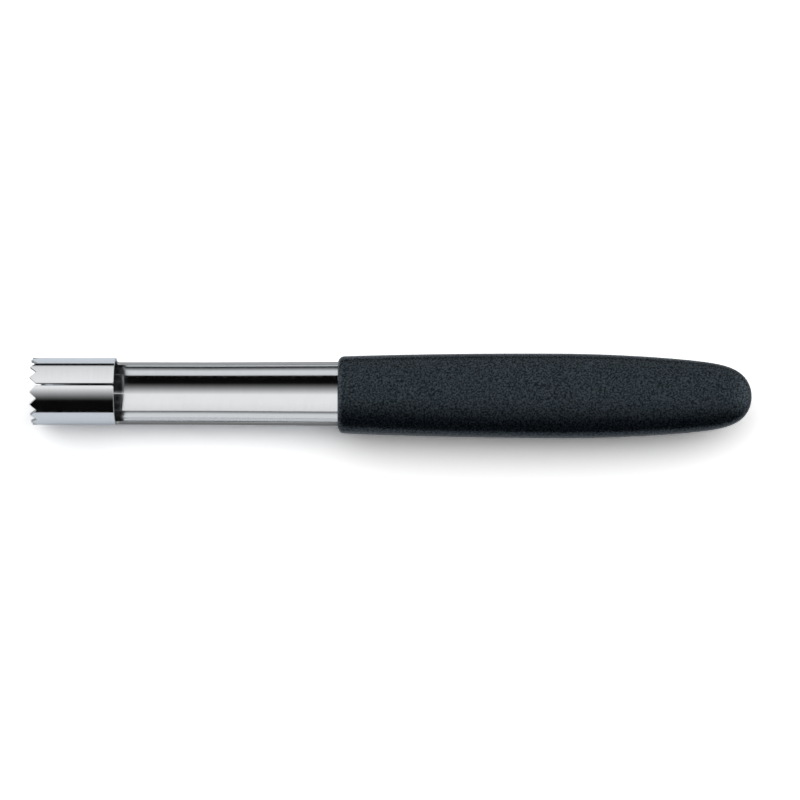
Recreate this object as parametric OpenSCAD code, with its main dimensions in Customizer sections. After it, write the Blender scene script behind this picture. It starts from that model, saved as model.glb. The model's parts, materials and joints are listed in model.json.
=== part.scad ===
// Apple corer: one stamped and rolled steel sheet in one moulded plastic handle.
// It is drawn along its own axis, X from the tooth tips to the tail, and then laid down
// so that the head and the handle's belly touch the surface under it at Z = 0.

/* [Toothed head] */
// Outside diameter of the closed head
head_d = 16; // [13:0.5:30]
// Thickness of the rolled sheet
sheet_t = 0.8; // [0.6:0.1:1.2]
// Length of the head, from the tooth tips to its rear rim
head_len = 19.9; // [12:0.1:30]
// Number of teeth round the rim
tooth_count = 16; // [10:1:24]
// Angle of the notch between two teeth
notch_angle = 90; // [70:5:110]
// Width of the open seam along the head
seam_gap = 0.5; // [0.2:0.1:1]
// Radius of the two corners where the seam meets the rear rim
seam_corner_r = 0.4; // [0.2:0.1:0.6]

/* [Neck] */
// Length of the step from the head down to the trough
neck_len = 0.7; // [0.5:0.1:2]
// How far the sheet steps in from the head to the trough
neck_step = 0.45; // [0.2:0.05:0.8]
// Sideways distance between the head's axis and the trough's
head_shift = 0.4; // [0:0.1:0.6]
// Radius of the corners between the rear rim and the trough's lips
lip_corner_r = 1.2; // [0.6:0.1:2]

/* [Trough] */
// Length of the trough that shows between neck and handle
trough_len = 52.1; // [35:0.1:90]
// Length over which the trough widens towards the handle
flare_len = 26; // [10:1:30]
// How much its radius grows over that length
flare = 0.25; // [0.1:0.05:1]
// Angle of the open top, seen along the axis
opening_angle = 103; // [80:1:120]

/* [Tang] */
// Length of the sheet that is hidden in the handle
tang_len = 45; // [25:1:60]
// Height of the tang's edges at its end, below the axis
tang_end_drop = 2; // [0:0.5:5]

/* [Handle] */
// Length of the handle
handle_len = 98.1; // [80:0.1:130]
// Distance of the belly from the front
belly_x = 52; // [40:1:60]
// Plastic beside the sheet at the front
side_wall = 1.35; // [1:0.05:4]
// Plastic under the sheet at the front
under_wall = 1.3; // [1:0.1:4]
// Plastic above the trough's lips at the front
lip_cover = 0.4; // [0.3:0.1:4]
// Sideways distance between the handle's axis and the trough's
trough_shift = 0.6; // [0:0.1:0.8]
// Height of the handle's widest line above the trough's axis, at the front
front_line = 1.4; // [0:0.1:2.5]
// Fall of the widest line from the front to the tail
line_fall = 1.95; // [0:0.05:4]
// Growth of each side from the front to the belly
belly_swell = 0.95; // [0:0.05:4]
// Sag of the underside from the front to the belly
belly_sag = 1; // [0.5:0.1:4]
// How much the upper half flattens from the front to the belly
belly_flat = 0.65; // [0:0.05:1.5]
// Share of its section that the handle loses from the belly to the tail
tail_taper = 0.3; // [0.1:0.05:0.5]
// Bluntness of the tail's end, as an exponent
tail_blunt = 14.5; // [8:0.5:20]
// Squareness of the handle's section, as an exponent
squareness = 2.1; // [2:0.1:3]
// Radius of the front edge
front_edge_r = 1.5; // [0.6:0.1:2.5]

/* [Hidden] */
$fn = 96;

// How far a cut runs past the face that it cuts
over = 1;
// Points along the neck's curve, and stations and sides of the handle's loft
neck_steps = 6;
edge_stations = 6;
front_stations = 14;
tail_stations = 22;
handle_sides = 60;

head_r = head_d / 2;
trough_r = head_r - neck_step;
mouth_r = trough_r + flare;
reach = max(head_r, mouth_r) + over;

// Places along the axis
neck_x = head_len;
trough_x = neck_x + neck_len;
mouth_x = trough_x + trough_len;
flare_x = mouth_x - flare_len;
tang_end_x = mouth_x + tang_len;
tail_x = mouth_x + handle_len;

// The strip of teeth runs round the head from one side of the seam to the other
seam_half_angle = asin(seam_gap / head_d);
tooth_pitch = (360 - 2 * seam_half_angle) / tooth_count;
notch_depth = head_r * sin(tooth_pitch / 2) / tan(notch_angle / 2);

// The trough's lips, as the handle's front has to cover them
half_opening = opening_angle / 2;
lip_y = trough_shift + mouth_r * sin(half_opening);
lip_z = mouth_r * cos(half_opening);

// Half width, rise above the widest line and depth below it, at the front and at the belly
front_half = mouth_r + side_wall;
front_rise = (lip_z + lip_cover - front_line) / arch(lip_y / front_half);
front_depth = front_line + mouth_r + under_wall;
belly_half = front_half + belly_swell;
belly_rise = front_rise - belly_flat;
belly_depth = widest_z(belly_x) + mouth_r + under_wall + belly_sag;

function smooth(t) = t * t * (3 - 2 * t);
function signed_power(v, e) = sign(v) * pow(abs(v), e);

// Share of its full height that the section keeps at a share of its half width
function arch(share) = pow(1 - pow(share, squareness), 1 / squareness);

// At x from its front, the handle swells towards the belly and closes from there to the tail
function past_belly(x) = max(0, (x - belly_x) / (handle_len - belly_x));
function kept(x) = let (u = past_belly(x)) (1 - tail_taper * u * u) * sqrt(1 - pow(u, tail_blunt));
function swell(x, front, belly) = let (f = max(0, 1 - x / belly_x)) belly + (front - belly) * f * f;
function half_width(x) = swell(x, front_half, belly_half) * kept(x);
function rise(x) = swell(x, front_rise, belly_rise) * kept(x);
function depth(x) = swell(x, front_depth, belly_depth) * kept(x);
function widest_z(x) = front_line - line_fall * x / handle_len;

// Each station is its distance from the front and how far its section is drawn in
edge_part = [for (i = [0 : edge_stations - 1])
    let (a = 90 * i / edge_stations) [front_edge_r * (1 - cos(a)), front_edge_r * (1 - sin(a))]];
front_part = [for (i = [0 : front_stations - 1])
    [front_edge_r + (belly_x - front_edge_r) * i / front_stations, 0]];
tail_part = [for (i = [0 : tail_stations - 1])
    let (t = 1 - i / tail_stations) [handle_len - (handle_len - belly_x) * t * t, 0]];
stations = concat(edge_part, front_part, tail_part);

function section(x, inset) = [for (k = [0 : handle_sides - 1])
    let (a = 360 * k / handle_sides, height = (sin(a) > 0 ? rise(x) : depth(x)) - inset)
    [x, (half_width(x) - inset) * signed_power(cos(a), 2 / squareness),
     widest_z(x) + height * signed_power(sin(a), 2 / squareness)]];

// The tool tips until the handle's underside meets the surface that the head lies on
rest_tilt = max([for (s = stations)
    atan((depth(s[0]) - s[1] - widest_z(s[0]) - head_r) / (mouth_x + s[0] - notch_depth))]);

module lay_down() {
    translate([-cos(rest_tilt) * tail_x / 2, 0, head_r * cos(rest_tilt) - notch_depth * sin(rest_tilt)])
        rotate([0, -rest_tilt, 0])
            children();
}

module along_x() {
    rotate([0, 90, 0]) children();
}

// A round length whose radius changes from one end to the other
module run(x0, x1, r0, r1) {
    translate([x0, 0, 0]) along_x() cylinder(h = x1 - x0, r1 = r0, r2 = r1);
}

// The neck's step, drawn about the trough's axis and slanted over to the head's axis
module neck(inset) {
    points = [for (i = [0 : neck_steps])
        let (t = i / neck_steps) [head_r + (trough_r - head_r) * smooth(t) - inset, t * neck_len]];
    slant = head_shift / neck_len;
    translate([neck_x, 0, 0])
        multmatrix([[1, 0, 0, 0], [-slant, 1, 0, head_shift], [0, 0, 1, 0], [0, 0, 0, 1]])
            along_x() rotate_extrude() polygon(concat([[0, 0]], points, [[0, neck_len]]));
}

// Everything inside the sheet's outer face, or inside its inner face when inset by the sheet
module rolled_form(inset, end_play) {
    translate([0, head_shift, 0]) run(-end_play, neck_x, head_r - inset, head_r - inset);
    neck(inset);
    run(trough_x, flare_x, trough_r - inset, trough_r - inset);
    run(flare_x, mouth_x, trough_r - inset, mouth_r - inset);
    run(mouth_x, tang_end_x + end_play, mouth_r - inset, mouth_r - inset);
}

// A wedge about the axis that opens upwards
module open_wedge(x0, x1, half_angle) {
    side = 2 * reach;
    translate([x0, 0, 0]) rotate([90, 0, 90]) linear_extrude(x1 - x0)
        polygon([[0, 0], [-side * sin(half_angle), side * cos(half_angle)],
                 [side * sin(half_angle), side * cos(half_angle)]]);
}

// The open top begins behind the neck, with a round corner at each lip
module opening() {
    corner = half_opening - atan(lip_corner_r / trough_r);
    open_wedge(trough_x + lip_corner_r, tang_end_x + over, half_opening);
    open_wedge(trough_x, tang_end_x + over, corner);
    for (side = [-1, 1])
        rotate([side * corner, 0, 0]) translate([trough_x + lip_corner_r, 0, 0])
            cylinder(h = reach, r = lip_corner_r);
}

// Inside the handle the sheet narrows to a tongue
module tang_trim() {
    translate([mouth_x, 0, 0]) rotate([90, 0, 0])
        linear_extrude(2 * reach, center = true)
            polygon([[0, lip_z], [tang_len + over, -tang_end_drop], [tang_len + over, reach], [0, reach]]);
}

module seam() {
    translate([-over, head_shift - seam_gap / 2, 0]) cube([trough_x + 2 * over, seam_gap, reach]);
    translate([trough_x - seam_corner_r, head_shift, 0]) difference() {
        translate([0, -seam_gap / 2 - seam_corner_r, 0])
            cube([seam_corner_r + over, seam_gap + 2 * seam_corner_r, reach]);
        for (side = [-1, 1])
            translate([0, side * (seam_gap / 2 + seam_corner_r), -over])
                cylinder(h = reach + 2 * over, r = seam_corner_r);
    }
}

module notches() {
    far = notch_depth + over;
    half = far * tan(notch_angle / 2);
    translate([0, head_shift, 0])
        for (i = [0 : tooth_count])
            rotate([seam_half_angle + i * tooth_pitch, 0, 0])
                translate([notch_depth, 0, 0]) linear_extrude(reach)
                    polygon([[0, 0], [-far, half], [-far, -half]]);
}

module sheet() {
    translate([0, trough_shift, 0]) difference() {
        rolled_form(0, 0);
        rolled_form(sheet_t, over);
        opening();
        tang_trim();
        seam();
        notches();
    }
}

module corer_tube() {
    color([0.80, 0.82, 0.84]) lay_down() sheet();
}

module handle_body() {
    rings = [for (s = stations) section(s[0], s[1])];
    n = handle_sides;
    last = (len(rings) - 1) * n;
    tip = len(rings) * n;
    points = concat([for (r = rings) each r], [[handle_len, 0, widest_z(handle_len)]]);
    front = [[for (k = [0 : n - 1]) n - 1 - k]];
    sides = [for (i = [0 : len(rings) - 2], k = [0 : n - 1])
        [i * n + k, i * n + (k + 1) % n, (i + 1) * n + (k + 1) % n, (i + 1) * n + k]];
    tail = [for (k = [0 : n - 1]) [last + k, last + (k + 1) % n, tip]];
    translate([mouth_x, 0, 0]) polyhedron(points, concat(front, sides, tail), convexity = 4);
}

// The handle is moulded round the tang and into the trough's inside
module handle() {
    color([0.13, 0.14, 0.15]) lay_down() difference() {
        handle_body();
        sheet();
    }
}

corer_tube();
handle();
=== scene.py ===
"""An apple corer on a white table: a polished steel tube with a toothed head, in a grained black handle.

The tube is made as the real one is: a flat blank is cut to its outline and then rolled up by a
Geometry Nodes tree. The handle is a loft whose rule is written in a second tree. Both are drawn
along the tool's own axis, X from the tooth tips to the tail, and laid down where the frame says.
"""

import json
import logging
import math
from dataclasses import dataclass
from enum import Enum

import bpy
import numpy as np
from mathutils import Matrix, Vector
from mathutils.geometry import delaunay_2d_cdt


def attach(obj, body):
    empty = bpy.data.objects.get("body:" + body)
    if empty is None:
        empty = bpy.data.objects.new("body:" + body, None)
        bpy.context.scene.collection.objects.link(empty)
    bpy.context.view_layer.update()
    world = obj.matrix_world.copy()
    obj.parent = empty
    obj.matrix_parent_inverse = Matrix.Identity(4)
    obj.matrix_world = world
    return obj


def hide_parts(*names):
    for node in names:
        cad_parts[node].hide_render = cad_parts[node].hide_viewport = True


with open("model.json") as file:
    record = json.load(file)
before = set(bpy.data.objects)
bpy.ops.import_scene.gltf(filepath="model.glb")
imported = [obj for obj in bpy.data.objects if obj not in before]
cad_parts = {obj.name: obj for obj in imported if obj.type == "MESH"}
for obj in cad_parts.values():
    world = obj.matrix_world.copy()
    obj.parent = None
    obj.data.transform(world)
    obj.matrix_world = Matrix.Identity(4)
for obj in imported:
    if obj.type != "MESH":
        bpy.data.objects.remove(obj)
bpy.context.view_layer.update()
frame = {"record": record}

LOG = logging.getLogger("apple_corer")
MM = 0.001
BODY = "root"
HEAD_SIDE = 1.0 * MM
BLANK_MAP = "blank"
BLANK_NORMAL = "blank_normal"
ROLLED_NORMAL = "rolled_normal"
CUT_FACE = "cut_face"

Point = tuple[float, float]
Colour = tuple[float, float, float]


class Slot(Enum):
    """The record's material slots."""

    STEEL = "steel"
    PLASTIC = "plastic"


class Side(Enum):
    """The two sides of the seam, as the sign of Y."""

    LEFT = 1
    RIGHT = -1


@dataclass(frozen=True)
class Number:
    """A number in a node tree that takes part in ordinary sums."""

    tree: bpy.types.NodeTree
    source: bpy.types.NodeSocket

    def worked(self, operation: str, *others: "Number | float") -> "Number":
        """Adds one Math node.

        Args:
            operation: The Math node's operation.
            others: The node's further inputs, in order.

        Returns:
            The node's result.
        """
        node = self.tree.nodes.new("ShaderNodeMath")
        node.operation = operation
        for port, value in zip(node.inputs, (self, *others)):
            fed(port, value)
        return Number(self.tree, node.outputs[0])

    def __add__(self, other: "Number | float") -> "Number":
        """Sum."""
        return self.worked("ADD", other)

    def __sub__(self, other: "Number | float") -> "Number":
        """Difference."""
        return self.worked("SUBTRACT", other)

    def __mul__(self, other: "Number | float") -> "Number":
        """Product."""
        return self.worked("MULTIPLY", other)

    def __truediv__(self, other: "Number | float") -> "Number":
        """Quotient."""
        return self.worked("DIVIDE", other)

    def __pow__(self, other: "Number | float") -> "Number":
        """Power of a number that is not negative."""
        return self.worked("POWER", other)

    def __neg__(self) -> "Number":
        """The number with its sign turned."""
        return self.worked("MULTIPLY", -1.0)

    def from_one(self) -> "Number":
        """What is left of one."""
        return -self + 1.0

    def share(self, start: "Number | float", length: "Number | float") -> "Number":
        """How far along a stretch the number is, from 0 to 1."""
        return ((self - start) / length).worked("MAXIMUM", 0.0).worked("MINIMUM", 1.0)

    def sine(self) -> "Number":
        """Sine of an angle in radians."""
        return self.worked("SINE")

    def cosine(self) -> "Number":
        """Cosine of an angle in radians."""
        return self.worked("COSINE")

    def signed_power(self, exponent: "Number | float") -> "Number":
        """Power of the size with the sign kept."""
        return (self.worked("ABSOLUTE") ** exponent) * self.worked("SIGN")


def fed(port: bpy.types.NodeSocket, value: "Number | bpy.types.NodeSocket | float") -> None:
    """Links a socket to a number or a socket, or sets its value.

    Args:
        port: The socket that is fed.
        value: What it is fed with.
    """
    source = value.source if isinstance(value, Number) else value
    if isinstance(source, bpy.types.NodeSocket):
        port.id_data.links.new(source, port)
    else:
        port.default_value = source


def joined(
    tree: bpy.types.NodeTree, x: Number | float, y: Number | float, z: Number | float
) -> bpy.types.NodeSocket:
    """Puts three numbers together as a vector.

    Args:
        tree: The node tree.
        x: First part.
        y: Second part.
        z: Third part.

    Returns:
        The vector's socket.
    """
    node = tree.nodes.new("ShaderNodeCombineXYZ")
    for port, value in zip(node.inputs, (x, y, z)):
        fed(port, value)
    return node.outputs[0]


def parts_of(vector: bpy.types.NodeSocket) -> tuple[Number, Number, Number]:
    """Takes a vector apart.

    Args:
        vector: The vector's socket.

    Returns:
        Its three numbers.
    """
    node = vector.id_data.nodes.new("ShaderNodeSeparateXYZ")
    fed(node.inputs[0], vector)
    return tuple(Number(vector.id_data, port) for port in node.outputs)


def combined(
    operation: str, first: bpy.types.NodeSocket, second: bpy.types.NodeSocket | Number | float | None = None
) -> bpy.types.NodeSocket:
    """Adds one Vector Math node.

    Args:
        operation: The node's operation.
        first: Its first vector.
        second: Its second vector, or the factor that scales the first.

    Returns:
        The resulting vector's socket.
    """
    node = first.id_data.nodes.new("ShaderNodeVectorMath")
    node.operation = operation
    fed(node.inputs[0], first)
    if second is not None:
        fed(node.inputs["Scale"] if operation == "SCALE" else node.inputs[1], second)
    return node.outputs[0]


class RuleTree:
    """A Geometry Nodes tree that shapes one piece by a rule, with a named input for each size."""

    def __init__(self, name: str) -> None:
        """Starts an empty tree."""
        self.tree = bpy.data.node_groups.new(name, "GeometryNodeTree")
        for flow in ("INPUT", "OUTPUT"):
            self.tree.interface.new_socket("Geometry", in_out=flow, socket_type="NodeSocketGeometry")
        self.entry = self.tree.nodes.new("NodeGroupInput")
        self.values: dict[str, float] = {}

    def size(self, name: str, value: float) -> Number:
        """Adds a named input.

        Args:
            name: The input's name.
            value: What the piece sets it to.

        Returns:
            The input as a number.
        """
        socket = self.tree.interface.new_socket(name, in_out="INPUT", socket_type="NodeSocketFloat")
        self.values[socket.identifier] = value
        return Number(self.tree, next(p for p in self.entry.outputs if p.identifier == socket.identifier))

    def node(self, kind: str, **inputs: object) -> bpy.types.Node:
        """Adds a node.

        Args:
            kind: The node's type.
            inputs: Sockets or values for its inputs by name, with _ for a space.

        Returns:
            The node.
        """
        made = self.tree.nodes.new(kind)
        for name, value in inputs.items():
            fed(made.inputs[name.replace("_", " ")], value)
        return made

    def named(self, name: str) -> bpy.types.NodeSocket:
        """Reads a vector attribute of the mesh."""
        made = self.node("GeometryNodeInputNamedAttribute", Name=name)
        made.data_type = "FLOAT_VECTOR"
        return made.outputs["Attribute"]

    def stored(
        self, geometry: bpy.types.NodeSocket, name: str, vector: bpy.types.NodeSocket
    ) -> bpy.types.NodeSocket:
        """Stores a vector on each face corner.

        Args:
            geometry: The geometry.
            name: The attribute's name.
            vector: The vector's socket.

        Returns:
            The geometry with the attribute.
        """
        made = self.node("GeometryNodeStoreNamedAttribute", Geometry=geometry, Name=name)
        made.data_type = "FLOAT_VECTOR"
        made.domain = "CORNER"
        fed(made.inputs["Value"], vector)
        return made.outputs[0]

    def applied(
        self, piece: bpy.types.Object, geometry: bpy.types.NodeSocket, finish: bpy.types.Material
    ) -> None:
        """Ends the tree, runs it on a piece and keeps the result as its plain mesh.

        Args:
            piece: The object that the tree works on.
            geometry: The tree's result.
            finish: The material that the piece gets.
        """
        real = self.node("GeometryNodeRealizeInstances", Geometry=geometry)
        dressed = self.node("GeometryNodeSetMaterial", Geometry=real.outputs[0], Material=finish)
        leave = self.tree.nodes.new("NodeGroupOutput")
        fed(leave.inputs[0], dressed.outputs[0])
        modifier = piece.modifiers.new("rule", "NODES")
        modifier.node_group = self.tree
        for identifier, value in self.values.items():
            modifier[identifier] = value
        depsgraph = bpy.context.evaluated_depsgraph_get()
        mesh = bpy.data.meshes.new_from_object(
            piece.evaluated_get(depsgraph), preserve_all_data_layers=True, depsgraph=depsgraph
        )
        piece.modifiers.remove(modifier)
        mesh.name = piece.name
        piece.data = mesh


class EffectGroup:
    """A shader node group that reads a place and some numbers and puts out other numbers."""

    def __init__(self, name: str, inputs: dict[str, float], outputs: tuple[str, ...]) -> None:
        """Starts the group.

        Args:
            name: The group's name.
            inputs: Its numbers and their usual values.
            outputs: The names of what it puts out.
        """
        self.tree = bpy.data.node_groups.new(name, "ShaderNodeTree")
        self.tree.interface.new_socket("Place", in_out="INPUT", socket_type="NodeSocketVector")
        for label, value in inputs.items():
            socket = self.tree.interface.new_socket(label, in_out="INPUT", socket_type="NodeSocketFloat")
            socket.default_value = value
        for label in outputs:
            self.tree.interface.new_socket(label, in_out="OUTPUT", socket_type="NodeSocketFloat")
        self.entry = self.tree.nodes.new("NodeGroupInput")
        self.leave = self.tree.nodes.new("NodeGroupOutput")

    @property
    def place(self) -> bpy.types.NodeSocket:
        """The group's place."""
        return self.entry.outputs["Place"]

    def given(self, name: str) -> Number:
        """One of the group's numbers."""
        return Number(self.tree, self.entry.outputs[name])

    def noise(self, place: bpy.types.NodeSocket, scale: Number | float, octaves: float) -> Number:
        """Adds a noise.

        Args:
            place: Where it is read.
            scale: Its cells to a unit of that place.
            octaves: How many finer layers it has.

        Returns:
            The noise, from 0 to 1.
        """
        node = self.tree.nodes.new("ShaderNodeTexNoise")
        fed(node.inputs["Vector"], place)
        fed(node.inputs["Scale"], scale)
        fed(node.inputs["Detail"], octaves)
        return Number(self.tree, node.outputs["Fac"])

    def out(self, name: str, value: Number) -> None:
        """Sends a number out of the group."""
        fed(self.leave.inputs[name], value)


def uneven_group() -> bpy.types.NodeTree:
    """Slow unevenness of a surface, from polishing, moulding and handling.

    Returns:
        A group that puts out a shade factor and a roughness offset.
    """
    octaves = 3.0
    group = EffectGroup(
        "uneven", {"Size": 8 * MM, "Shade": 0.05, "Roughness": 0.03}, ("Factor", "Offset")
    )
    swing = group.noise(group.place, group.given("Size") ** -1.0, octaves) - 0.5
    group.out("Factor", swing * group.given("Shade") * 2.0 + 1.0)
    group.out("Offset", swing * group.given("Roughness") * 2.0)
    return group.tree


def grain_group() -> bpy.types.NodeTree:
    """Fine relief whose cells can be drawn out into lines.

    Returns:
        A group that puts out a height and a mask, each from 0 to 1.
    """
    height_octaves, mask_octaves = 2.0, 1.0
    mask_scale, mask_floor, mask_width = 0.6, 0.35, 0.33
    group = EffectGroup(
        "grain", {"Cell along": 0.3 * MM, "Cell around": 0.3 * MM}, ("Height", "Mask")
    )
    x, y, z = parts_of(group.place)
    along, around = group.given("Cell along"), group.given("Cell around")
    place = joined(group.tree, x / along, y / around, z / around)
    group.out("Height", group.noise(place, 1.0, height_octaves))
    mask = group.noise(place, mask_scale, mask_octaves)
    group.out("Mask", mask.share(mask_floor, mask_width))
    return group.tree


class Shader:
    """A Principled material while it is being wired."""

    def __init__(self, name: str) -> None:
        """Starts a material with one Principled BSDF."""
        self.material = bpy.data.materials.new(name)
        self.material.use_nodes = True
        self.tree = self.material.node_tree
        self.body = next(n for n in self.tree.nodes if n.type == "BSDF_PRINCIPLED")

    def effect(
        self, group: bpy.types.NodeTree, place: bpy.types.NodeSocket, **values: float
    ) -> bpy.types.Node:
        """Places a shader node group.

        Args:
            group: The group.
            place: What its Place input reads.
            values: Its numbers by name, with _ for a space.

        Returns:
            The group's node.
        """
        made = self.tree.nodes.new("ShaderNodeGroup")
        made.node_tree = group
        fed(made.inputs["Place"], place)
        for name, value in values.items():
            fed(made.inputs[name.replace("_", " ")], value)
        return made

    def place(self) -> bpy.types.NodeSocket:
        """The place on the piece, in metres."""
        return self.tree.nodes.new("ShaderNodeTexCoord").outputs["Object"]

    def blank_place(self) -> bpy.types.NodeSocket:
        """The place on the flat blank, in metres."""
        made = self.tree.nodes.new("ShaderNodeUVMap")
        made.uv_map = BLANK_MAP
        return made.outputs["UV"]

    def held(self, name: str) -> Number:
        """A number that the mesh carries."""
        made = self.tree.nodes.new("ShaderNodeAttribute")
        made.attribute_name = name
        return self.number(made, "Fac")

    def number(self, node: bpy.types.Node, output: str) -> Number:
        """One output of a node as a number."""
        return Number(self.tree, node.outputs[output])

    def shaded(self, colour: Colour, factor: Number) -> None:
        """Links a colour times a factor to the Base Color."""
        made = self.tree.nodes.new("ShaderNodeVectorMath")
        made.operation = "SCALE"
        made.inputs[0].default_value = colour
        fed(made.inputs["Scale"], factor)
        fed(self.body.inputs["Base Color"], made.outputs[0])

    def relief(self, height: Number, depth: float, strength: float) -> None:
        """Links a relief to the shader's Normal.

        Args:
            height: The relief, from 0 to 1.
            depth: Its depth in metres.
            strength: The Bump node's strength.
        """
        bump = self.tree.nodes.new("ShaderNodeBump")
        bump.inputs["Distance"].default_value = depth
        bump.inputs["Strength"].default_value = strength
        fed(bump.inputs["Height"], height)
        fed(self.body.inputs["Normal"], bump.outputs[0])


@dataclass(frozen=True)
class PolishedSteel:
    """Polished stainless steel with fine grinding lines round the tube, and rougher cut faces darkened with
    painted shade.
    """

    colour: Colour = (0.80, 0.815, 0.83)
    roughness: float = 0.09
    line_spacing: float = 0.22 * MM
    line_length: float = 5 * MM
    line_depth: float = 0.003 * MM
    line_shade: float = 0.1
    line_roughness: float = 0.16
    cut_roughness: float = 0.35
    # painted shade on the cut faces, darkening their colour
    cut_painted_shade: float = 0.55
    uneven_size: float = 6 * MM
    uneven_shade: float = 0.03
    uneven_roughness: float = 0.02

    def made(self, uneven: bpy.types.NodeTree, grain: bpy.types.NodeTree) -> bpy.types.Material:
        """Wires the material.

        Args:
            uneven: The group for slow unevenness.
            grain: The group for fine relief.

        Returns:
            The material.
        """
        shader = Shader("polished_steel")
        shader.body.inputs["Metallic"].default_value = 1.0
        lines = shader.effect(
            grain, shader.blank_place(), Cell_along=self.line_spacing, Cell_around=self.line_length
        )
        polish = shader.effect(
            uneven,
            shader.place(),
            Size=self.uneven_size,
            Shade=self.uneven_shade,
            Roughness=self.uneven_roughness,
        )
        line = shader.number(lines, "Height")
        swing = line - 0.5
        cut = shader.held(CUT_FACE)
        # painted shade: the cut faces' colour is darkened to stand in for the dark reflections along the
        # sheet's edges
        left = cut * -self.cut_painted_shade + 1.0
        shade = shader.number(polish, "Factor") * (swing * self.line_shade + 1.0) * left
        shader.shaded(self.colour, shade)
        rough = shader.number(polish, "Offset") + swing * self.line_roughness + self.roughness
        rough = rough + cut * self.cut_roughness
        fed(shader.body.inputs["Roughness"], rough)
        shader.relief(line, self.line_depth, 1.0)
        return shader.material


@dataclass(frozen=True)
class GrainedPlastic:
    """Black moulded plastic with a fine even grain."""

    colour: Colour = (0.0045, 0.0065, 0.009)
    sheen: float = 0.46
    sheen_tint: Colour = (0.66, 0.86, 1.0)
    roughness: float = 0.28
    grain: float = 0.25 * MM
    grain_depth: float = 0.035 * MM
    grain_strength: float = 0.5
    grain_shade: float = 1.35
    grain_roughness: float = 0.1
    uneven_size: float = 14 * MM
    uneven_shade: float = 0.06
    uneven_roughness: float = 0.03

    def made(self, uneven: bpy.types.NodeTree, grain: bpy.types.NodeTree) -> bpy.types.Material:
        """Wires the material.

        Args:
            uneven: The group for slow unevenness.
            grain: The group for fine relief.

        Returns:
            The material.
        """
        shader = Shader("grained_plastic")
        cells = shader.effect(grain, shader.place(), Cell_along=self.grain, Cell_around=self.grain)
        flow = shader.effect(
            uneven,
            shader.place(),
            Size=self.uneven_size,
            Shade=self.uneven_shade,
            Roughness=self.uneven_roughness,
        )
        swing = shader.number(cells, "Mask") - 0.5
        shade = shader.number(flow, "Factor") * (swing * self.grain_shade + 1.0)
        shader.shaded(self.colour, shade)
        fed(shader.body.inputs["Specular IOR Level"], shade * self.sheen)
        shader.body.inputs["Specular Tint"].default_value = (*self.sheen_tint, 1.0)
        rough = shader.number(flow, "Offset") + swing * self.grain_roughness + self.roughness
        fed(shader.body.inputs["Roughness"], rough)
        shader.relief(shader.number(cells, "Height"), self.grain_depth, self.grain_strength)
        return shader.material


@dataclass(frozen=True)
class Lying:
    """How the tool lies: its own axis in the frame, from the bore that the record states."""

    bore_x: float = 10 * MM

    def placed(self) -> Matrix:
        """Works out the place of the tool.

        Returns:
            The matrix from the tool's own axes to the frame.
        """
        bore = frame["record"]["mounts"][0]
        forwards = Vector(bore["axis"])
        tilt = math.atan2(-forwards.z, -forwards.x)
        turn = Matrix.Rotation(-tilt, 4, "Y")
        start = Vector(bore["pos_m"]) - turn.to_3x3() @ Vector((self.bore_x, HEAD_SIDE, 0.0))
        return Matrix.Translation(start) @ turn


def new_piece(name: str) -> bpy.types.Object:
    """Links an empty mesh to the scene as an object.

    Args:
        name: The object's name.

    Returns:
        The object.
    """
    piece = bpy.data.objects.new(name, bpy.data.meshes.new(name))
    bpy.context.scene.collection.objects.link(piece)
    return piece


def declared(piece: bpy.types.Object, node: str) -> bpy.types.Object:
    """Says which solid a piece stands for and what carries it.

    Args:
        piece: The piece.
        node: The solid's name.

    Returns:
        The piece.
    """
    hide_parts(node)
    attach(piece, BODY)
    LOG.info("%s: %d faces, stands for %s", piece.name, len(piece.data.polygons), node)
    return piece


class CutSheet:
    """A flat sheet whose faces carry a normal at each corner. X and Y lie in it, Z is its outer side."""

    def __init__(self) -> None:
        """Starts with nothing."""
        self.points: list[tuple[float, float, float]] = []
        self.faces: list[tuple[int, ...]] = []
        self.normals: list[tuple[float, float, float]] = []

    def ring(self, plane: np.ndarray, height: float) -> np.ndarray:
        """Adds points at one height.

        Args:
            plane: Their places in the sheet's plane.
            height: Their height.

        Returns:
            Their numbers.
        """
        start = len(self.points)
        self.points += [(x, y, height) for x, y in plane.tolist()]
        return np.arange(start, len(self.points))

    def face(self, corners: list[int], normals: list[tuple[float, float, float]]) -> None:
        """Adds a face with a normal for each corner."""
        self.faces.append(tuple(corners))
        self.normals += normals

    def given_to(self, piece: bpy.types.Object) -> None:
        """Writes the sheet into an object's mesh, with its flat places as a UV map.

        Args:
            piece: The object.
        """
        mesh = piece.data
        mesh.from_pydata(self.points, [], self.faces)
        mesh.shade_smooth()
        corners = np.concatenate([np.array(face) for face in self.faces])
        layer = mesh.uv_layers.new(name=BLANK_MAP)
        layer.uv.foreach_set("vector", np.array(self.points)[corners, :2].astype(np.float32).ravel())
        normals = np.array(self.normals, dtype=np.float32)
        held = mesh.attributes.new(BLANK_NORMAL, "FLOAT_VECTOR", "CORNER")
        held.data.foreach_set("vector", normals.ravel())
        cut = mesh.attributes.new(CUT_FACE, "FLOAT", "CORNER")
        cut.data.foreach_set("value", 1 - np.abs(normals[:, 2]))


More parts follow.
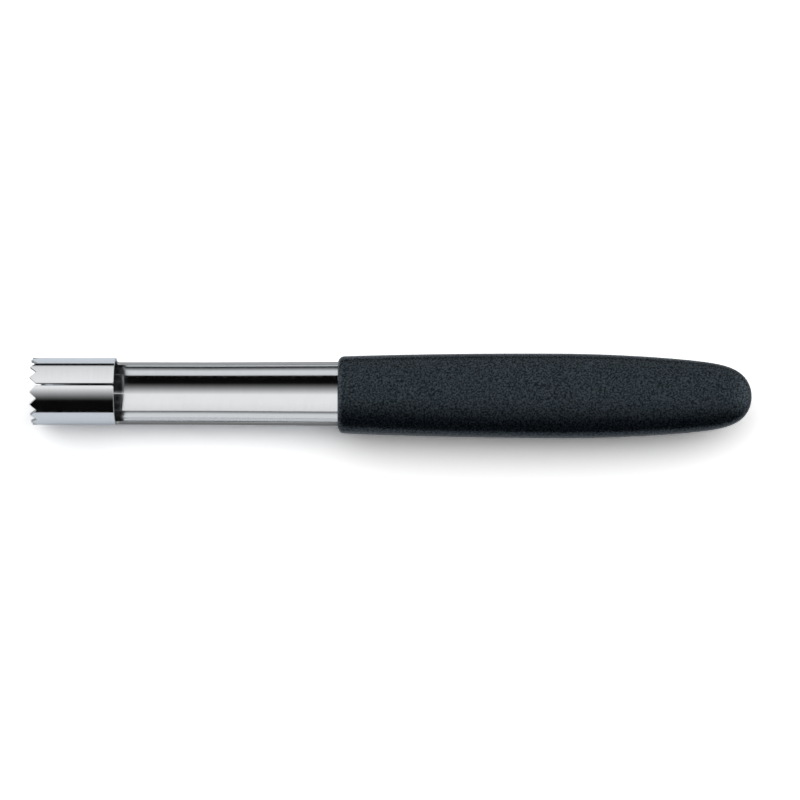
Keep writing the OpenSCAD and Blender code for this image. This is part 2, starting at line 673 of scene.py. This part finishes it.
@dataclass(frozen=True)
class Outline:
    """The closed outline of a blank, run through with the blank on its left."""

    points: np.ndarray
    sharp_bend: float = math.radians(25)

    @property
    def outward(self) -> np.ndarray:
        """The outward direction of the edge behind each point."""
        run = np.roll(self.points, -1, axis=0) - self.points
        return np.stack([run[:, 1], -run[:, 0]], axis=1) / np.linalg.norm(run, axis=1)[:, None]

    def drawn_in(self, distance: float) -> np.ndarray:
        """Moves the outline inwards.

        Args:
            distance: How far.

        Returns:
            Its points, with every edge moved by the distance.
        """
        after = self.outward
        before = np.roll(after, 1, axis=0)
        along = np.sum(after * before, axis=1)[:, None]
        return self.points - distance * (after + before) / (1 + along)

    def corner_directions(self) -> tuple[np.ndarray, np.ndarray]:
        """Finds the outward direction at both ends of each edge, shared where the outline is smooth.

        Returns:
            The directions at the edges' starts and at their ends.
        """
        after = self.outward
        before = np.roll(after, 1, axis=0)
        mean = after + before
        mean /= np.linalg.norm(mean, axis=1)[:, None]
        sharp = (np.sum(after * before, axis=1) < math.cos(self.sharp_bend))[:, None]
        starts = np.where(sharp, after, mean)
        ends = np.where(np.roll(sharp, -1, axis=0), after, np.roll(mean, -1, axis=0))
        return starts, ends

    def holds(self, spots: np.ndarray, clear: float) -> np.ndarray:
        """Tells which spots lie inside, clear of the outline.

        Args:
            spots: The spots.
            clear: The least distance to the outline.

        Returns:
            True for each spot inside.
        """
        inside = np.zeros(len(spots), dtype=bool)
        nearest = np.full(len(spots), np.inf)
        x, y = spots[:, 0], spots[:, 1]
        for (ax, ay), (bx, by) in zip(self.points, np.roll(self.points, -1, axis=0)):
            if ay != by:
                crosses = ((ay > y) != (by > y)) & (x < (bx - ax) * (y - ay) / (by - ay) + ax)
                inside ^= crosses
            length = (bx - ax) ** 2 + (by - ay) ** 2
            way = np.clip(((x - ax) * (bx - ax) + (y - ay) * (by - ay)) / length, 0, 1)
            nearest = np.minimum(nearest, np.hypot(x - ax - way * (bx - ax), y - ay - way * (by - ay)))
        return inside & (nearest > clear)


@dataclass(frozen=True)
class CorerTube:
    """One stamped and rolled sheet: toothed head, trough and the tang inside the handle.

    The trough drifts sideways to the handle's front, and behind it the tang moves back, so that
    the sheet stays inside the plastic.
    """

    head_radius: float = 8.0 * MM
    sheet: float = 0.8 * MM
    head_length: float = 19.9 * MM
    teeth: int = 16
    notch_angle: float = math.radians(90)
    seam_gap: float = 0.5 * MM
    seam_corner: float = 0.4 * MM
    mouth_side: float = 0.95 * MM
    tang_side: float = 0.5 * MM
    tuck_length: float = 6.0 * MM
    lip_corner: float = 0.8 * MM
    trough_length: float = 52.8 * MM
    flare_length: float = 31.0 * MM
    flare: float = 0.2 * MM
    opening_angle: float = math.radians(213.5)
    tang_length: float = 45.0 * MM
    tang_end_drop: float = 5.0 * MM
    edge_round: float = 0.1 * MM
    round_steps: int = 4
    row_step: float = 1.0 * MM
    column_step: float = 0.4 * MM
    outline_step: float = 0.5 * MM
    corner_steps: int = 10
    probe: float = 0.01 * MM

    @property
    def mouth_x(self) -> float:
        """Where the trough enters the handle."""
        return self.head_length + self.trough_length

    @property
    def tang_end_x(self) -> float:
        """The rear end of the sheet."""
        return self.mouth_x + self.tang_length

    def across(self, angle: float) -> float:
        """The place across the blank of an angle from the tube's underside."""
        return angle * self.head_radius

    def beside_seam(self, x: float, offset: float, side: Side) -> Point:
        """A point beside the seam.

        Args:
            x: Its place along the tool.
            offset: Its distance from the seam's middle.
            side: The side of the seam.

        Returns:
            The point on the blank.
        """
        past_top = math.asin(offset / self.head_radius)
        return x, side.value * self.across(past_top - math.pi)

    def toothed_edge(self) -> list[Point]:
        """The front edge, from the seam's right side round the underside to its left side.

        Returns:
            The roots and tips of the teeth.
        """
        seam = math.asin(self.seam_gap / 2 / self.head_radius)
        pitch = 2 * (math.pi - seam) / self.teeth
        depth = self.head_radius * math.sin(pitch / 2) / math.tan(self.notch_angle / 2)
        edge = [(depth, self.across(math.pi - seam))]
        for tooth in range(self.teeth):
            root = math.pi - seam - (tooth + 1) * pitch
            edge.append((0.0, self.across(root + pitch / 2)))
            edge.append((depth, self.across(root)))
        return edge

    def seam_edge(self, side: Side) -> list[Point]:
        """One side of the seam, from behind the teeth to the rear rim.

        Args:
            side: The side of the seam.

        Returns:
            Points on the blank.
        """
        half_gap = self.seam_gap / 2
        corner_x = self.head_length - self.seam_corner
        run = []
        for step in range(self.corner_steps + 1):
            turn = step / self.corner_steps * math.pi / 2
            x = corner_x + self.seam_corner * math.sin(turn)
            run.append(self.beside_seam(x, half_gap + self.seam_corner * (1 - math.cos(turn)), side))
        return run

    def lip_edge(self, side: Side) -> list[Point]:
        """One lip, from its corner behind the head to the tang's end.

        Args:
            side: The side of the opening.

        Returns:
            Points on the blank.
        """
        lip = self.opening_angle / 2
        corner = lip - math.atan(self.lip_corner / self.head_radius)
        run = []
        for step in range(self.corner_steps + 1):
            turn = step / self.corner_steps * math.pi / 2
            angle = corner + (lip - corner) * math.sin(turn)
            run.append((self.head_length + self.lip_corner * (1 - math.cos(turn)), angle))
        run.append((self.mouth_x, lip))
        mouth = self.head_radius + self.flare
        high = mouth * math.cos(lip)
        for step in range(1, 2 * self.corner_steps + 1):
            way = step / (2 * self.corner_steps)
            height = high - (high + self.tang_end_drop) * way
            run.append((self.mouth_x + self.tang_length * way, math.acos(height / mouth)))
        return [(x, side.value * self.across(angle - math.pi)) for x, angle in run]

    def outline(self) -> Outline:
        """Draws the blank's outline in even steps.

        Returns:
            The outline.
        """
        loop = self.toothed_edge() + self.seam_edge(Side.LEFT) + self.lip_edge(Side.LEFT)
        loop += self.lip_edge(Side.RIGHT)[::-1] + self.seam_edge(Side.RIGHT)[::-1]
        points = []
        for here, there in zip(loop, loop[1:] + loop[:1]):
            start, end = np.array(here), np.array(there)
            steps = max(1, math.ceil(np.linalg.norm(end - start) / self.outline_step))
            points += [start + (end - start) * step / steps for step in range(steps)]
        return Outline(np.array(points))

    def inner_points(self, outline: Outline) -> np.ndarray:
        """Chooses the points inside the outline on which the sheet bends.

        Args:
            outline: The outline.

        Returns:
            The points.
        """
        rows = np.arange(self.row_step / 2, self.tang_end_x, self.row_step)
        half = self.across(math.pi)
        columns = np.linspace(-half, half, round(2 * half / self.column_step))
        spots = np.stack(np.meshgrid(rows, columns), axis=-1).reshape(-1, 2)
        return spots[outline.holds(spots, 2 * self.edge_round)]

    def blank(self) -> CutSheet:
        """Cuts the flat blank, with its edges slightly rounded.

        Returns:
            The blank.
        """
        outline = self.outline()
        inset = outline.drawn_in(self.edge_round)
        inner = self.inner_points(outline)
        plane = np.concatenate([inset, inner])
        count = len(inset)
        loop = [(i, (i + 1) % count) for i in range(count)]
        hull_wide, closest = 0, 1e-6
        spots = [Vector(p) for p in (plane / MM).tolist()]
        cut = delaunay_2d_cdt(spots, loop, [], hull_wide, closest, False)
        triangles = np.array([tuple(face) for face in cut[2]])
        triangles = triangles[Outline(inset).holds(plane[triangles].mean(axis=1), 0.0)]
        sheet = CutSheet()
        up, down = (0.0, 0.0, 1.0), (0.0, 0.0, -1.0)
        top = sheet.ring(plane, 0.0)
        bottom = sheet.ring(plane, -self.sheet)
        for a, b, c in triangles:
            sheet.face([int(top[a]), int(top[b]), int(top[c])], [up] * 3)
            sheet.face([int(bottom[c]), int(bottom[b]), int(bottom[a])], [down] * 3)
        self.edged(sheet, outline, inset, top[:count], bottom[:count])
        return sheet

    def edged(
        self, sheet: CutSheet, outline: Outline, inset: np.ndarray, top: np.ndarray, bottom: np.ndarray
    ) -> None:
        """Closes the sheet round its outline.

        Args:
            sheet: The sheet.
            outline: The outline.
            inset: The outline of the flat faces.
            top: The numbers of the upper face's outer points.
            bottom: The numbers of the lower face's outer points.
        """
        quarter = math.pi / 2
        turns = [quarter * (1 - step / self.round_steps) for step in range(self.round_steps + 1)]
        layers = [(turn, -self.edge_round * (1 - math.sin(turn))) for turn in turns]
        layers += [(-turn, -self.sheet - height) for turn, height in reversed(layers)]
        rings = [top]
        for turn, height in layers[1:-1]:
            rings.append(sheet.ring(inset + (outline.points - inset) * math.cos(turn), height))
        rings.append(bottom)
        starts, ends = outline.corner_directions()
        count = len(inset)

        def leaning(direction: np.ndarray, turn: float) -> tuple[float, float, float]:
            """The normal of the rounded edge where it has turned from the sheet's plane."""
            return (direction[0] * math.cos(turn), direction[1] * math.cos(turn), math.sin(turn))

        for (upper, lower), (above, below) in zip(zip(rings, rings[1:]), zip(layers, layers[1:])):
            for i in range(count):
                j = (i + 1) % count
                corners = [int(upper[i]), int(lower[i]), int(lower[j]), int(upper[j])]
                sheet.face(corners, [
                    leaning(starts[i], above[0]),
                    leaning(starts[i], below[0]),
                    leaning(ends[i], below[0]),
                    leaning(ends[i], above[0]),
                ])

    def rolled(self, piece: bpy.types.Object, finish: bpy.types.Material) -> None:
        """Rolls a blank up round the axis.

        Args:
            piece: The flat blank, which becomes the tube.
            finish: Its material.
        """
        rule = RuleTree("rolled_sheet")
        head_radius = rule.size("Head radius", self.head_radius)
        head_length = rule.size("Head length", self.head_length)
        trough_length = rule.size("Trough length", self.trough_length)
        head_side = rule.size("Head side", HEAD_SIDE)
        mouth_side = rule.size("Mouth side", self.mouth_side)
        tang_side = rule.size("Tang side", self.tang_side)
        mouth_x = rule.size("Mouth", self.mouth_x)
        tuck_length = rule.size("Tuck length", self.tuck_length)
        flare_start = rule.size("Flare start", self.mouth_x - self.flare_length)
        flare_length = rule.size("Flare length", self.flare_length)
        flare = rule.size("Flare", self.flare)
        x, across, depth = parts_of(rule.node("GeometryNodeInputPosition").outputs[0])
        angle = -(across / head_radius)
        sine, cosine = angle.sine(), angle.cosine()

        def on_tube(along: Number) -> bpy.types.NodeSocket:
            """The place on the tube of a point at some distance along it."""
            radius = head_radius + flare * along.share(flare_start, flare_length) + depth
            side = head_side + (mouth_side - head_side) * along.share(head_length, trough_length)
            side = side + (tang_side - mouth_side) * along.share(mouth_x, tuck_length)
            return joined(rule.tree, along, side + radius * sine, -(radius * cosine))

        run = combined("SUBTRACT", on_tube(x + self.probe), on_tube(x - self.probe))
        lengthwise = combined("NORMALIZE", run)
        crosswise = joined(rule.tree, 0.0, -cosine, -sine)
        outwards = combined("NORMALIZE", combined("CROSS_PRODUCT", lengthwise, crosswise))
        flat = parts_of(rule.named(BLANK_NORMAL))
        normal = combined("SCALE", lengthwise, flat[0])
        for direction, share in ((crosswise, flat[1]), (outwards, flat[2])):
            normal = combined("ADD", normal, combined("SCALE", direction, share))
        kept = rule.stored(rule.entry.outputs["Geometry"], ROLLED_NORMAL, combined("NORMALIZE", normal))
        bent = rule.node("GeometryNodeSetPosition", Geometry=kept, Position=on_tube(x))
        rule.applied(piece, bent.outputs[0], finish)

    def built(self, lying: Matrix, finish: bpy.types.Material) -> bpy.types.Object:
        """Cuts, rolls and places the tube.

        Args:
            lying: The place of the tool.
            finish: Its material.

        Returns:
            The tube.
        """
        piece = new_piece("corer_tube_steel")
        self.blank().given_to(piece)
        self.rolled(piece, finish)
        mesh = piece.data
        held = mesh.attributes[ROLLED_NORMAL]
        normals = np.empty(3 * len(held.data), dtype=np.float32)
        held.data.foreach_get("vector", normals)
        turned = normals.reshape(-1, 3) @ np.array(lying.to_3x3()).T
        mesh.transform(lying)
        for name in (BLANK_NORMAL, ROLLED_NORMAL):
            mesh.attributes.remove(mesh.attributes[name])
        mesh.normals_split_custom_set(turned.tolist())
        return declared(piece, "corer_tube")


@dataclass(frozen=True)
class MouldedHandle:
    """The long oval handle, moulded round the tang: its rule gives a section at each place along it."""

    length: float = 98.1 * MM
    belly_x: float = 52.0 * MM
    front_half: float = 9.15 * MM
    belly_half: float = 10.1 * MM
    side_line: float = 1.4 * MM
    side_line_fall: float = 1.95 * MM
    front_rise: float = 5.47 * MM
    belly_rise: float = 4.82 * MM
    front_depth: float = 10.5 * MM
    belly_depth: float = 10.47 * MM
    tail_taper: float = 0.3
    tail_blunt: float = 14.5
    squareness: float = 2.1
    front_edge: float = 1.5 * MM
    rings: int = 176
    sides: int = 144
    cap_share: float = 0.04
    edge_share: float = 0.08
    merge_distance: float = 0.001 * MM

    def built(self, mouth_x: float, lying: Matrix, finish: bpy.types.Material) -> bpy.types.Object:
        """Shapes and places the handle.

        Args:
            mouth_x: Where the handle begins along the tool.
            lying: The place of the tool.
            finish: Its material.

        Returns:
            The handle.
        """
        piece = new_piece("handle_plastic")
        self.shaped(piece, mouth_x, finish)
        piece.data.transform(lying)
        return declared(piece, "handle")

    def shaped(self, piece: bpy.types.Object, mouth_x: float, finish: bpy.types.Material) -> None:
        """Lofts the handle from a grid of rings and sides.

        Args:
            piece: An empty object, which becomes the handle.
            mouth_x: Where the handle begins along the tool.
            finish: Its material.
        """
        rule = RuleTree("handle_loft")
        length = rule.size("Length", self.length)
        belly_x = rule.size("Belly place", self.belly_x)
        edge = rule.size("Front edge", self.front_edge)
        power = rule.size("Squareness", self.squareness) ** -1.0 * 2.0
        grid = rule.node(
            "GeometryNodeMeshGrid", Size_X=1.0, Size_Y=1.0, Vertices_X=self.rings, Vertices_Y=self.sides
        )
        along, around, _ = parts_of(rule.node("GeometryNodeInputPosition").outputs[0])
        run = along + 0.5
        cap = run.share(0.0, self.cap_share)
        turn = run.share(self.cap_share, self.edge_share) * (math.pi / 2)
        body_start = self.cap_share + self.edge_share
        left = run.share(body_start, 1.0 - body_start).from_one()
        x = edge * turn.cosine().from_one() + (length - edge) * (left * left).from_one()
        inset = edge * turn.sine().from_one()
        ahead = (x / belly_x).from_one().worked("MAXIMUM", 0.0)
        past = x.share(belly_x, length - belly_x)
        taper = (past * past * rule.size("Tail taper", self.tail_taper)).from_one()
        closing = (past ** rule.size("Tail bluntness", self.tail_blunt)).from_one().worked("SQRT")
        kept = taper * closing

        def swell(name: str, front: float, belly: float) -> Number:
            """A half measure of the section, from its values at the front and at the belly."""
            start, middle = rule.size(name + " at front", front), rule.size(name + " at belly", belly)
            return (middle + (start - middle) * (ahead * ahead)) * kept - inset

        half = swell("Half width", self.front_half, self.belly_half)
        rise = swell("Rise", self.front_rise, self.belly_rise)
        depth = swell("Depth", self.front_depth, self.belly_depth)
        angle = (around + 0.5) * (2 * math.pi)
        sine = angle.sine()
        above = sine.worked("GREATER_THAN", 0.0)
        height = rise * above + depth * above.from_one()
        fall = rule.size("Side line fall", self.side_line_fall) * (x / length)
        middle = rule.size("Side line", self.side_line) - fall
        place = joined(
            rule.tree,
            x + rule.size("Mouth", mouth_x),
            cap * half * angle.cosine().signed_power(power),
            middle + cap * height * sine.signed_power(power),
        )
        moved = rule.node("GeometryNodeSetPosition", Geometry=grid.outputs[0], Position=place)
        closed = rule.node(
            "GeometryNodeMergeByDistance", Geometry=moved.outputs[0], Distance=self.merge_distance
        )
        smooth = rule.node("GeometryNodeSetShadeSmooth", Geometry=closed.outputs[0])
        rule.applied(piece, smooth.outputs[0], finish)


@dataclass(frozen=True)
class Table:
    """The plain white table that the tool lies on. It is no part of the tool."""

    half_size: float = 2.0
    colour: Colour = (0.87, 0.92, 0.985)
    seen_level: float = 1.85
    # painted shade: how far along +Y the table stays white for rays other than the camera's
    lit_depth: float = 0.075
    edge_width: float = 0.02

    def laid(self) -> bpy.types.Object:
        """Lays the table under the tool.

        Returns:
            The table.
        """
        table = new_piece("table")
        h = self.half_size
        table.data.from_pydata([(-h, -h, 0), (h, -h, 0), (h, h, 0), (-h, h, 0)], [], [(0, 1, 2, 3)])
        table.data.materials.append(self.material())
        LOG.info("table laid")
        return table

    def material(self) -> bpy.types.Material:
        """Wires a matt white that the camera sees as the bright paper of a studio; for other rays it is
        painted dark beyond lit_depth.

        Returns:
            The material.
        """
        made = bpy.data.materials.new("table_white")
        made.use_nodes = True
        tree = made.node_tree
        tree.nodes.clear()
        _, y, _ = parts_of(tree.nodes.new("ShaderNodeNewGeometry").outputs["Position"])
        # painted shade: past lit_depth along +Y the table is black for every ray but the camera's, so the
        # steel reflects a dark far strip
        lit = y.share(self.lit_depth, self.edge_width).from_one()
        white = tree.nodes.new("ShaderNodeVectorMath")
        white.operation = "SCALE"
        white.inputs[0].default_value = self.colour
        fed(white.inputs["Scale"], lit)
        matt = tree.nodes.new("ShaderNodeBsdfDiffuse")
        fed(matt.inputs["Color"], white.outputs[0])
        bright = tree.nodes.new("ShaderNodeBsdfDiffuse")
        bright.inputs["Color"].default_value = (self.seen_level, self.seen_level, self.seen_level, 1.0)
        mix = tree.nodes.new("ShaderNodeMixShader")
        path = tree.nodes.new("ShaderNodeLightPath")
        fed(mix.inputs[0], path.outputs["Is Camera Ray"])
        fed(mix.inputs[1], matt.outputs[0])
        fed(mix.inputs[2], bright.outputs[0])
        out = tree.nodes.new("ShaderNodeOutputMaterial")
        fed(out.inputs["Surface"], mix.outputs[0])
        return made


@dataclass(frozen=True)
class SoftDome:
    """Soft white light from above and behind the tool, dark towards -Y and brighter at both ends."""

    fade_start: float = math.radians(0)
    fade_end: float = math.radians(45)
    fade_power: float = 1.6
    far_start: float = math.radians(30)
    far_end: float = math.radians(82)
    far_loss: float = 0.17
    colour: Colour = (1.0, 1.0, 1.0)
    strength: float = 0.93
    dark: float = 0.003
    end_start: float = 0.4
    end_width: float = 0.4
    end_level: float = 1.7
    horizon: float = 0.13
    far_edge_start: float = 0.2
    far_edge_width: float = 0.5

    def lit(self) -> None:
        """Makes the world, which the camera sees as plain white."""
        world = bpy.data.worlds.new("studio")
        bpy.context.scene.world = world
        world.use_nodes = True
        tree = world.node_tree
        tree.nodes.clear()
        x, y, z = parts_of(tree.nodes.new("ShaderNodeTexCoord").outputs["Generated"])
        near = (-y).worked("ARCSINE")
        fade = near.share(self.fade_start, self.fade_end - self.fade_start).from_one()
        far = (-near).share(self.far_start, self.far_end - self.far_start) * -self.far_loss + 1.0
        white = fade ** self.fade_power * far
        sideways = x.worked("ABSOLUTE").share(self.end_start, self.end_width)
        ends = sideways * (self.end_level - 1.0) + 1.0
        level = (white * (self.strength - self.dark) + self.dark) * ends
        low = z.share(0.0, self.horizon).from_one()
        level = level * (low * y.share(self.far_edge_start, self.far_edge_width)).from_one()
        dome = tree.nodes.new("ShaderNodeBackground")
        dome.inputs["Color"].default_value = (*self.colour, 1.0)
        fed(dome.inputs["Strength"], level)
        plain = tree.nodes.new("ShaderNodeBackground")
        plain.inputs["Color"].default_value = (1.0, 1.0, 1.0, 1.0)
        mix = tree.nodes.new("ShaderNodeMixShader")
        fed(mix.inputs[0], tree.nodes.new("ShaderNodeLightPath").outputs["Is Camera Ray"])
        fed(mix.inputs[1], dome.outputs[0])
        fed(mix.inputs[2], plain.outputs[0])
        out = tree.nodes.new("ShaderNodeOutputWorld")
        fed(out.inputs["Surface"], mix.outputs[0])
        LOG.info("dome lit")


@dataclass(frozen=True)
class Viewpoint:
    """The photograph's camera: high over the tool, looking along +Y and down."""

    elevation: float = math.radians(78.2)
    distance: float = 0.974
    lens: float = 184.5
    sensor: float = 36.0
    target: tuple[float, float, float] = (0.0020, -0.00086, 0.0085)
    roll: float = math.radians(0.24)
    farthest: float = 10.0

    def set_up(self) -> None:
        """Makes the camera and gives it to the scene."""
        camera = bpy.data.objects.new("camera", bpy.data.cameras.new("camera"))
        bpy.context.scene.collection.objects.link(camera)
        back = Vector((0.0, -math.cos(self.elevation), math.sin(self.elevation)))
        camera.location = Vector(self.target) + back * self.distance
        tip = Matrix.Rotation(math.pi / 2 - self.elevation, 3, "X")
        camera.rotation_euler = (tip @ Matrix.Rotation(self.roll, 3, "Z")).to_euler()
        camera.data.lens = self.lens
        camera.data.sensor_width = self.sensor
        camera.data.clip_end = self.farthest
        bpy.context.scene.camera = camera


def main() -> None:
    """Builds the tool and its studio."""
    logging.basicConfig(level=logging.INFO, format="%(name)s: %(message)s")
    bpy.context.scene.view_settings.view_transform = "Standard"
    Viewpoint().set_up()
    SoftDome().lit()
    Table().laid()
    uneven, grain = uneven_group(), grain_group()
    lying = Lying().placed()
    tube = CorerTube()
    tube.built(lying, PolishedSteel().made(uneven, grain))
    MouldedHandle().built(tube.mouth_x, lying, GrainedPlastic().made(uneven, grain))


if __name__ == "__main__":
    main()
